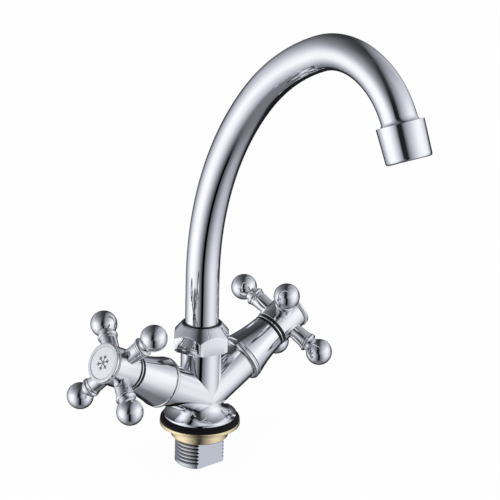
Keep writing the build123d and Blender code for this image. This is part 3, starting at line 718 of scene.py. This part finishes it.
class FAUCET_OT_spout_nut(bpy.types.Operator):
    """Make the hexagon nut with its coned crown"""

    bl_idname = "faucet.spout_nut"
    bl_label = "Spout nut"

    def execute(self, context):
        columns, corner_power = 288, 90
        bottom, top, to_flat, corner_turn = 46.8, 62.4, 16.0, 77.5
        crown_start, crown_foot, rim = 55.1, 18.2, 12.2
        foot_edge, foot_slope = 17.4, 0.5 / 0.8
        thread_bore, lip_bore, lip_bottom = 11.75, 10.9, 60
        soft = 0.22
        turn = np.arange(columns) * math.tau / columns
        # Distance to the flats: to_flat over the soft maximum of the cosines to the six
        # flats, which rounds the upright edges a little.
        flats = np.radians(corner_turn + 60 * np.arange(6))
        facing = np.maximum(np.cos(turn[:, None] - flats), 0)
        hexagon = to_flat / (facing ** corner_power).sum(1) ** (1 / corner_power)
        crown_slope = (crown_foot - rim) / (top - crown_start)
        arch = crown_start + (crown_foot - hexagon) / crown_slope
        foot = bottom + np.maximum(hexagon - foot_edge, 0) * foot_slope
        foot_radius = np.minimum(hexagon, foot_edge)
        flat = np.ones(columns)
        rows = [(thread_bore * flat, bottom * flat), (foot_radius - soft, bottom * flat),
                (foot_radius - 0.3 * soft, bottom * flat + 0.3 * soft),
                (hexagon, foot + soft), (hexagon, arch - soft),
                (hexagon - 0.3 * soft, arch + 0.1 * soft),
                (hexagon - crown_slope * soft * 1.1, arch + soft)]
        over = np.linspace(0.08, 1, 8)[:, None]
        start_radius, start_height = rows[-1]
        crown_radius = start_radius + (rim + soft * crown_slope - start_radius) * over
        crown_height = start_height + (top - soft - start_height) * over
        rows += list(zip(crown_radius, crown_height))
        rows += [(radius * flat, height * flat) for radius, height in (
            (rim - 0.25 * soft, top - 0.2 * soft), (rim - soft, top),
            (lip_bore + soft, top), (lip_bore, top - soft), (lip_bore, lip_bottom),
            (thread_bore, lip_bottom))]
        radius = np.stack([row[0] for row in rows])[..., None]
        height = np.stack([row[1] for row in rows])[..., None]
        spread = np.stack((np.cos(turn), np.sin(turn), 0 * turn), 1)
        grid = radius * spread + height * UP
        make_piece("hexagon_nut", [(grid, True, True)], MATERIALS["chrome"],
                   "body", ("spout_nut",), crease=24.0)
        return {"FINISHED"}


# ---------------------------------------------------------------- arms
class FAUCET_OT_covers(bpy.types.Operator):
    """Make the bell-shaped covers, the black bushes and their bright rings"""

    bl_idname = "faucet.covers"
    bl_label = "Arm covers"

    def execute(self, context):
        shapes = context.scene.faucet_shapes
        edge = shapes.edge_softness / MM
        chrome, plastic = MATERIALS["chrome"], MATERIALS["black_plastic"]
        for arm, side in SIDES:
            line = arm_line(side, shapes.arm_rise)
            bell = np.concatenate((
                [(-8.2, 12.9, 0.1)],
                arc((-8.2, 14.5), (-6.9, 15.3), (-5.6, 14.5), 14),
                [(-5.1, 14.5, 0.1), (-4.6, 15.15, 0.25)],
                arc((-4.6, 15.15), (6.5, 12.6), (17.8, 11.25), 40)[1:-1],
                [(17.8, 11.25, edge + 0.1), (17.8, 9.0, 0.15), (13.5, 9.0, 0),
                 (13.5, 7.6, 0), (3.0, 7.6, 0), (3.0, 11.8, 0), (0.0, 11.8, 0),
                 (0.0, 11.1, 0), (-6.1, 11.1, 0), (-6.1, 12.9, 0)]))
            turned_piece(f"{arm}_bell", line, bell, chrome, "body",
                         (f"{arm}_shroud",))
            bush = [(15.0, 6.0, 0.1), (15.0, 8.9, 0.1), (17.8, 8.9, 0), (17.8, 11.0, 0.3),
                    (19.5, 11.0, 0.12), (19.5, 10.0, 0), (20.3, 10.0, 0),
                    (20.3, 11.0, 0.12), (22.0, 11.0, 0.3), (22.0, 6.0, 0.1)]
            turned_piece(f"{arm}_black_bush", line, bush, plastic, "body",
                         (f"{arm}_glide_bush",))
            bright = [(19.5, 10.05, 0.1), (19.5, 11.35, 0.3), (20.3, 11.35, 0.3),
                      (20.3, 10.05, 0.1)]
            turned_piece(f"{arm}_bright_ring", line, bright, chrome, "body",
                         (f"{arm}_trim_ring",))
        return {"FINISHED"}


# ---------------------------------------------------------------- handles
class FAUCET_OT_handles(bpy.types.Operator):
    """Make the hubs and their four turned spokes with ball ends"""

    bl_idname = "faucet.handles"
    bl_label = "Cross handles"

    def execute(self, context):
        shapes = context.scene.faucet_shapes
        edge = shapes.edge_softness / MM
        chrome = MATERIALS["chrome"]
        for arm, side in SIDES:
            line = arm_line(side, shapes.arm_rise)
            body = f"{arm}_handle"
            hub = [(22.0, 4.1, 0.1), (22.0, 11.7, edge + 0.1), (39.0, 11.7, edge),
                   (39.0, 9.0, 0.1), (37.0, 9.0, 0), (37.0, 6.0, 0), (31.2, 6.0, 0),
                   (31.2, 1.9, 0), (29.2, 1.9, 0), (29.2, 4.1, 0)]
            turned_piece(f"{arm}_hub", line, hub, chrome, body,
                         (f"{arm}_handle_hub",))
            ball_centre, ball_radius, neck = 31.2, 7.95, 4.7
            neck_edge = ball_centre - math.sqrt(ball_radius ** 2 - neck ** 2)
            spoke = rounded(np.concatenate((
                [(8.3, 0, 0), (8.3, 4.75, 0), (11.7, 4.75, 0), (19.2, 5.05, 0.18),
                 (19.2, 4.75, 0.05), (19.6, 4.75, 0.05), (19.6, 5.35, 0.2),
                 (20.75, 5.35, 0.15)],
                arc((20.75, 4.8), (22.0, 6.05), (23.25, 4.8), 16),
                [(23.25, neck, 0.1), (neck_edge - 0.25, neck, 0.25)],
                arc((neck_edge, neck), (ball_centre, ball_radius),
                    (ball_centre + ball_radius, 0), 48))))
            grids = []
            face = line.origin + line.along * SPOKE_PLACE
            for quarter in range(4):
                turn = math.radians(SPOKE_ANGLES[arm] + 90 * quarter)
                grids.append((turned(Line(face, line.radial(turn), line.along), spoke, 72),
                              False, True))
            make_piece(f"{arm}_spokes", grids, chrome, body,
                       (f"{arm}_handle_spokes",))
        return {"FINISHED"}


def ribbon(path, width, height, line, lift, steps=7):
    """A low rounded strip along a path of (first, second) points in the plane square to a
    line: across it, height = full height * (1 - (offset / half width)^4). Its ends taper."""
    path = np.asarray(path, float)
    ahead = np.roll(path, -1, 0) - path
    behind = path - np.roll(path, 1, 0)
    ahead[-1], behind[0] = behind[-1], ahead[0]
    heading = ahead / np.linalg.norm(ahead, axis=1)[:, None] \
        + behind / np.linalg.norm(behind, axis=1)[:, None]
    heading /= np.linalg.norm(heading, axis=1)[:, None]
    across = np.stack((-heading[:, 1], heading[:, 0]), 1)
    offset = np.linspace(-1, 1, steps)
    rise = np.concatenate((1 - offset ** 4, (0.0, 0.0)))
    offset = np.concatenate((offset, (1.0, -1.0)))
    drop = np.concatenate((np.zeros(steps), (0.03, 0.03)))
    taper = np.ones(len(path))
    taper[0] = taper[-1] = 0.25
    flat = path[:, None] + across[:, None] * (offset * width / 2)[None, :, None] \
        * taper[:, None, None]
    along = lift + height * rise - drop
    return line.origin + flat[..., :1] * line.first + flat[..., 1:] * line.second \
        + along[None, :, None] * line.along


def snowflake(size):
    """Paths of a six-armed snow crystal: three crossing bars, and two barbs on each arm."""
    paths = []
    for turn in np.radians(90 + 60 * np.arange(6)):
        out = np.array((math.cos(turn), math.sin(turn)))
        side = np.array((-out[1], out[0]))
        paths.append(np.linspace(0.04, 1, 10)[:, None] * out * size)
        for sign in (-1, 1):
            root = out * size * 0.56
            tip = root + (out * 0.24 + sign * side * 0.26) * size
            paths.append(root + np.linspace(0, 1, 6)[:, None] * (tip - root))
    return paths


def heat_waves(size):
    """Paths of three rising waves: sideways = shift + 0.15 sin(1.5 pi height)."""
    height = np.linspace(-1, 1, 40)
    swing = 0.15 * np.sin(1.5 * math.pi * height)
    return [np.stack((shift + swing, height), 1) * size * np.array((1, scale))
            for shift, scale in ((-0.52, 0.72), (0.0, 0.92), (0.52, 0.72))]


class FAUCET_OT_index_rings(bpy.types.Operator):
    """Make the beaded rings, the satin discs and the marks on them"""

    bl_idname = "faucet.index_rings"
    bl_label = "Index rings and marks"

    def execute(self, context):
        shapes = context.scene.faucet_shapes
        chrome = MATERIALS["chrome"]
        for arm, side in SIDES:
            line = arm_line(side, shapes.arm_rise)
            body = f"{arm}_handle"
            rim = [(37.05, 7.0, 0.1), (37.05, 8.95, 0.1), (39.0, 8.95, 0), (39.0, 11.0, 0.1),
                   (40.8, 11.0, 0), (40.8, 12.0, 0.25), (42.3, 12.0, 0.95),
                   (42.3, 9.75, 0.2), (40.3, 9.75, 0), (40.3, 7.0, 0.1)]
            ring_grid = turned(line, rounded(rim), shapes.columns)
            # Beads: small spheres with their centres on a circle, all at once
            bead_radius, bead_circle, bead_place = 0.64, 11.75, 40.05
            middle = line.radial(np.arange(shapes.bead_count) * math.tau
                                 / shapes.bead_count) * bead_circle
            latitude = np.linspace(-math.pi / 2, math.pi / 2, 7)
            longitude = np.arange(10) * math.tau / 10
            ball = np.stack((np.outer(np.cos(latitude), np.cos(longitude)),
                             np.outer(np.cos(latitude), np.sin(longitude)),
                             np.outer(np.sin(latitude), np.ones(10))), -1) * bead_radius
            beads = line.origin + line.along * bead_place + middle[:, None, None] + ball
            grids = [(ring_grid, True, True)] + [(bead, False, True) for bead in beads]
            make_piece(f"{arm}_beaded_ring", grids, chrome, body,
                       (f"{arm}_index_ring",), crease=50.0)
            face = 42.2
            disc = [(40.3, 0, 0), (40.3, 9.65, 0.1), (face, 9.65, 0.35), (face, 0, 0)]
            turned_piece(f"{arm}_disc", line, disc, MATERIALS[f"{arm}_satin"],
                         body, (f"{arm}_index_disc",), closed=False)
            paths = snowflake(5.0) if arm == "left" else heat_waves(4.3)
            upright = Line(line.origin, line.along, UP)
            reading = Line(line.origin, line.along, np.cross(upright.first, line.along))
            width = shapes.mark_width / MM
            strips = [(ribbon(path, width, 0.05, reading, face), False, True)
                      for path in paths]
            enamel = MATERIALS["cold" if arm == "left" else "hot"]
            make_piece(f"{arm}_mark", strips, enamel, body)
        return {"FINISHED"}


# ---------------------------------------------------------------- stage
def camera_directions():
    """The camera's right, up and forward directions."""
    azimuth, height = math.radians(CAMERA_AZIMUTH), math.radians(CAMERA_HEIGHT_ANGLE)
    roll = math.radians(CAMERA_ROLL)
    forward = Vector((math.sin(azimuth) * math.cos(height),
                      math.cos(azimuth) * math.cos(height), -math.sin(height)))
    level = Vector((math.cos(azimuth), -math.sin(azimuth), 0))
    upward = level.cross(forward)
    right = level * math.cos(roll) + upward * math.sin(roll)
    up = upward * math.cos(roll) - level * math.sin(roll)
    return level, right, up, forward


# Level of the tent's light round the object, by degrees from behind it (-180), over the left
# softbox, the slit that the camera looks through (0) and the right softbox. Above the
# horizon the slit lies further left, and the right softbox reaches further back.
LOW_WALL = (
    (-180, 0.02), (-168, 0.02), (-156, 0.05), (-147, 0.13), (-136, 0.33), (-124, 0.52),
    (-112, 0.66), (-100, 0.86), (-90, 0.97), (-66, 1.0), (-54, 0.86), (-42, 0.68),
    (-30, 0.43), (-18, 0.22), (-8, 0.09), (-4, 0.001), (8, 0.001), (13, 0.22), (22, 0.33),
    (32, 0.50), (42, 0.68), (54, 0.88), (68, 1.0), (84, 0.96), (98, 0.82), (112, 0.64),
    (124, 0.42), (132, 0.16), (140, 0.03), (150, 0.02), (180, 0.02),
)
HIGH_WALL = (
    (-180, 0.05), (-168, 0.12), (-156, 0.24), (-144, 0.38), (-130, 0.52), (-116, 0.64),
    (-100, 0.76), (-86, 0.90), (-70, 1.0), (-56, 0.92), (-42, 0.68), (-30, 0.42),
    (-24, 0.22), (-20, 0.02), (-1, 0.02), (4, 0.14), (9, 0.24), (18, 0.40), (30, 0.58),
    (42, 0.72), (56, 0.88), (72, 1.0), (92, 1.0), (106, 0.88), (124, 0.70), (140, 0.61),
    (152, 0.50), (162, 0.30), (170, 0.08), (180, 0.03),
)
# Level of each softbox by the sine of the height angle, from straight down to straight up
LEFT_HEIGHTS = ((-1, 0.18), (-0.92, 0.39), (-0.79, 0.57), (-0.6, 0.80), (-0.38, 1.0),
                (0.10, 0.98), (0.25, 0.84), (0.38, 0.66), (0.6, 0.38), (0.79, 0.21),
                (0.92, 0.09), (1, 0.03))
RIGHT_HEIGHTS = ((-1, 0.18), (-0.92, 0.33), (-0.79, 0.45), (-0.6, 0.60), (-0.38, 0.80),
                 (0.12, 0.93), (0.38, 0.95), (0.6, 0.70), (0.79, 0.50), (0.92, 0.34),
                 (0.98, 0.16), (1, 0.05))


def tent_light(nodes):
    """Brightness of the tent by direction: softboxes either side of a black slit on the
    camera's side, black boards behind, and light that fades overhead, sooner on the left."""
    level = camera_directions()[0]
    towards = Vector((0, 0, 1)).cross(level)
    ray = nodes.add("ShaderNodeVectorMath", {"operation": "NORMALIZE"}, {0: nodes.place()})
    right, near, up = nodes.dot(ray, level), nodes.dot(ray, -towards), nodes.dot(ray, (0, 0, 1))
    angle = nodes.add("ShaderNodeMath", {"operation": "ARCTAN2"}, {0: right, 1: near})

    def level_at(stops, span, value):
        placed = [(0.5 + place / span, light) for place, light in stops]
        colour = nodes.add("ShaderNodeValToRGB", {"stops": placed}, {0: value}, "Color")
        return nodes.add("ShaderNodeSeparateColor", {}, {0: colour}, "Red")

    turn, height = angle / math.tau + 0.5, up * 0.5 + 0.5
    above = up.ramp(-0.08, 0.14)
    wall = level_at(LOW_WALL, 360, turn) * (1 - above) + level_at(HIGH_WALL, 360, turn) * above
    rightness = right.ramp(-0.16, 0.16)
    fall = level_at(LEFT_HEIGHTS, 2, height) * (1 - rightness) \
        + level_at(RIGHT_HEIGHTS, 2, height) * rightness
    beneath = up.ramp(-0.84, -0.99)
    value = wall * fall * (1 - beneath) + beneath * 0.18 + up.ramp(0.45, 0.85) * 0.03
    tint = nodes.mix(value.ramp(0.35, 1.0), (0.955, 0.98, 1.10), (1.0, 1.012, 1.045))
    nodes.output(nodes.add("ShaderNodeEmission", {}, {"Color": tint,
                                                      "Strength": value * 1.06}))


def pale_floor(nodes, colour):
    """A pale floor, lit as it is, and shown against the camera's white background. The
    object's shadow stays on it faintly."""
    white_share = 0.965
    place = nodes.place()
    grain = nodes.noise(place, 300, 3, 0.6)
    shade = tuple(0.985 * value for value in colour)
    cloth = nodes.add("ShaderNodeBsdfDiffuse", {},
                      {"Color": nodes.mix(grain, colour, shade)})
    white = nodes.add("ShaderNodeEmission", {}, {"Color": (1, 1, 1), "Strength": 1.0})
    rays = nodes.add("ShaderNodeLightPath", output="Is Camera Ray")
    glossy = nodes.add("ShaderNodeLightPath", output="Is Glossy Ray")
    through = nodes.add("ShaderNodeLightPath", output="Is Transmission Ray")
    shown = rays.math("MAXIMUM", rays, rays.math("MAXIMUM", glossy, through)) * white_share
    nodes.output(nodes.add("ShaderNodeMixShader", {}, {0: shown, 1: cloth, 2: white}))


def stage_disc(name, radius, height, material):
    """A flat disc on a polar grid."""
    turn = np.arange(96) * math.tau / 96
    rings = np.array((0.0, 0.05, 0.2, 0.5, 1.0))[:, None, None] * radius
    spread = np.stack((np.cos(turn), np.sin(turn), 0 * turn), 1)
    grid = rings * spread + np.array((0, 0, height))
    return stage_mesh(name, grid, material)


def stage_mesh(name, grid, material):
    """A stage surface from a grid in metres, closed round."""
    mesh = bpy.data.meshes.new(name)
    quads = joined_grid(grid.shape[:2], False, True)
    mesh.from_pydata(grid.reshape(-1, 3).tolist(), [], quads.tolist())
    shell = bmesh.new()
    shell.from_mesh(mesh)
    bmesh.ops.remove_doubles(shell, verts=shell.verts, dist=1e-5)
    shell.to_mesh(mesh)
    shell.free()
    mesh.shade_smooth()
    mesh.materials.append(material)
    thing = bpy.data.objects.new(name, mesh)
    bpy.context.scene.collection.objects.link(thing)
    return thing


class FAUCET_OT_stage(bpy.types.Operator):
    """Make the floor, the light tent, the lamp, the world and the camera"""

    bl_idname = "faucet.stage"
    bl_label = "Stage"

    def execute(self, context):
        studio = context.scene.faucet_studio
        scene = context.scene
        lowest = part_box("body_casting")[0].z
        floor = stage_disc("floor", studio.floor_radius, lowest - 0.0002,
                           new_material("floor", pale_floor, tuple(studio.floor_colour)))
        floor.visible_glossy = False
        # The tent: a sphere about the origin, which only reflections see
        tent_material = new_material("light_tent", tent_light)
        tent_material.cycles.emission_sampling = "NONE"
        latitude = np.linspace(-math.pi / 2, math.pi / 2, 49)[:, None, None]
        turn = np.arange(96) * math.tau / 96
        ring = np.stack((np.cos(turn), np.sin(turn), 0 * turn), 1)
        sphere = np.cos(latitude) * ring + np.sin(latitude) * UP
        tent = stage_mesh("light_tent", sphere * studio.tent_radius, tent_material)
        tent.visible_camera = tent.visible_diffuse = tent.visible_shadow = False

        lamp_data = bpy.data.lights.new("soft_lamp", "AREA")
        lamp_data.shape, lamp_data.size = "DISK", 0.9
        lamp_data.energy = studio.lamp_power
        lamp = bpy.data.objects.new("soft_lamp", lamp_data)
        scene.collection.objects.link(lamp)
        lamp.location = Vector((-1.1, -0.5, 1.5))
        lamp.rotation_euler = lamp.location.to_track_quat("Z", "Y").to_euler()
        lamp.visible_glossy = False

        world = bpy.data.worlds.new("studio")
        world.use_nodes = True
        nodes = Nodes(world.node_tree)
        background = nodes.add("ShaderNodeBackground", {}, {
            "Color": (1, 1, 1), "Strength": 1.0})
        light = nodes.add("ShaderNodeBackground", {}, {
            "Color": (0.97, 0.98, 1.0), "Strength": studio.world_strength})
        camera_ray = nodes.add("ShaderNodeLightPath", output="Is Camera Ray")
        glossy_ray = nodes.add("ShaderNodeLightPath", output="Is Glossy Ray")
        through_ray = nodes.add("ShaderNodeLightPath", output="Is Transmission Ray")
        shown = camera_ray.math("MAXIMUM", camera_ray,
                                camera_ray.math("MAXIMUM", glossy_ray, through_ray))
        mixed = nodes.add("ShaderNodeMixShader", {}, {0: shown, 1: light, 2: background})
        nodes.add("ShaderNodeOutputWorld", {}, {"Surface": mixed})
        scene.world = world

        level, right, up, forward = camera_directions()
        aim = level * CAMERA_SIDESTEP + Vector((0, 0, CAMERA_AIM_HEIGHT))
        lens = bpy.data.cameras.new("camera")
        lens.lens, lens.sensor_width = studio.camera_lens, 36.0
        lens.clip_start, lens.clip_end = 0.01, 50.0
        camera = bpy.data.objects.new("camera", lens)
        scene.collection.objects.link(camera)
        camera.matrix_world = Matrix.Translation(aim - forward * studio.camera_distance) \
            @ Matrix((right, up, -forward)).transposed().to_4x4()
        scene.camera = camera
        scene.view_settings.view_transform = "Standard"
        return {"FINISHED"}


# ---------------------------------------------------------------- panel and run
OPERATORS = (FAUCET_OT_finishes, FAUCET_OT_stage, FAUCET_OT_base, FAUCET_OT_spout,
             FAUCET_OT_spout_nut, FAUCET_OT_covers, FAUCET_OT_handles,
             FAUCET_OT_index_rings)
GROUPS = (("faucet_shapes", FaucetShapes), ("faucet_finishes", FaucetFinishes),
          ("faucet_studio", FaucetStudio))


class FAUCET_PT_panel(bpy.types.Panel):
    """Lists the faucet's sizes, finishes and pieces"""

    bl_idname = "FAUCET_PT_panel"
    bl_label = "Faucet"
    bl_space_type = "VIEW_3D"
    bl_region_type = "UI"
    bl_category = "Faucet"

    def draw(self, context):
        for group, kind in GROUPS:
            box = self.layout.box()
            for name in kind.__annotations__:
                box.prop(getattr(context.scene, group), name)
        for operator in OPERATORS:
            self.layout.operator(operator.bl_idname)


CLASSES = tuple(kind for _, kind in GROUPS) + OPERATORS + (FAUCET_PT_panel,)


def register():
    for kind in CLASSES:
        bpy.utils.register_class(kind)
    for group, kind in GROUPS:
        setattr(bpy.types.Scene, group, bpy.props.PointerProperty(type=kind))


def unregister():
    for group, _ in GROUPS:
        delattr(bpy.types.Scene, group)
    for kind in reversed(CLASSES):
        bpy.utils.unregister_class(kind)


def main():
    """Make every piece in order."""
    register()
    for operator in OPERATORS:
        group, name = operator.bl_idname.split(".")
        getattr(getattr(bpy.ops, group), name)()


if __name__ == "__main__":
    main()
